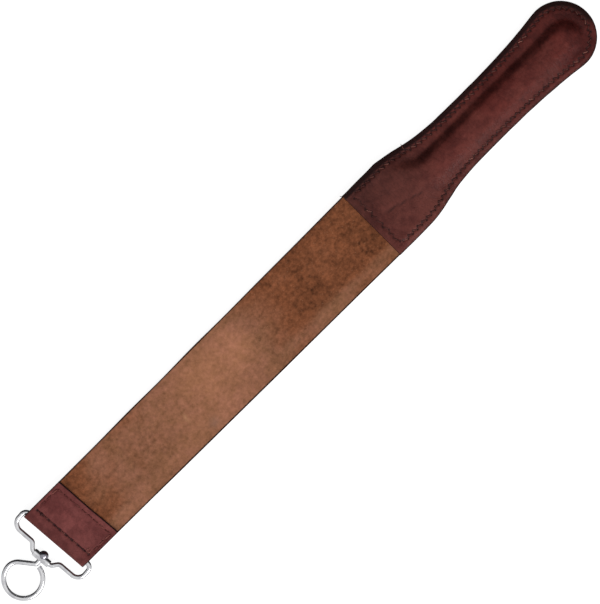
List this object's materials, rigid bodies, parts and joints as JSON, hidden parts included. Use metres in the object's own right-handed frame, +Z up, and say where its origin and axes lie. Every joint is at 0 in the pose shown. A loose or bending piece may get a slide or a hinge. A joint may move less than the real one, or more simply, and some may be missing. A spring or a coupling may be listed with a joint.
{
  "type": "razor strop",
  "caption": "Hanging leather strop for razors: a suede strap over a smooth strap, a padded stitched handle, and a swivelling wire ring hook on a bail in a folded end tab.",
  "frame": {"origin": "on the underside of the straps, midway along the free strap between the end tab and the handle, on the straps' middle line", "axes": "+X along the strop towards the handle, +Y across it, +Z up out of the suede face, with the strop lying flat on Z = 0"},
  "size_m": [0.5373, 0.0602, 0.0116],
  "materials": {
    "suede": "matte napped suede",
    "strap_leather": "smooth satin",
    "tab_leather": "satin grain",
    "handle_leather": "semi-gloss grain",
    "core": "felt",
    "thread": "waxed",
    "plated_wire": "bright nickel plate"
  },
  "bodies": {
    "strap": {"suede_strap": "suede", "leather_strap": "strap_leather", "end_tab": "tab_leather", "tunnel_seam_front_thread": "thread", "tunnel_seam_back_thread": "thread", "tab_seam_front_thread": "thread", "tab_seam_back_thread": "thread"},
    "handle": {"handle_front_cover": "handle_leather", "handle_back_cover": "handle_leather", "handle_core": "core", "edge_seam_front_thread": "thread", "edge_seam_back_thread": "thread", "mouth_seam_front_thread": "thread", "mouth_seam_back_thread": "thread"},
    "bail": {"bail": "plated_wire"},
    "hook": {"ring_hook": "plated_wire", "swivel_ball": "plated_wire"}
  },
  "joints": [
    {"name": "bail_swing", "type": "hinge", "parent": "strap", "child": "bail", "pos_m": [-0.15899, 0, 0.0042], "axis": [-0.0802, 0.9968, 0], "range_deg": [-140, 145]},
    {"name": "hook_swivel", "type": "hinge", "parent": "bail", "child": "hook", "pos_m": [-0.17407, -0.00192, 0.0034], "axis": [0.9954, 0.0801, 0.0526], "continuous": true},
    {"name": "handle_flex", "type": "hinge", "parent": "strap", "child": "handle", "pos_m": [0.108, 0, 0.0042], "axis": [0, 1, 0], "range_deg": [-60, 60], "stiffness_Nm_per_rad": 0.1, "deforming": ["suede_strap", "leather_strap"]}
  ]
}
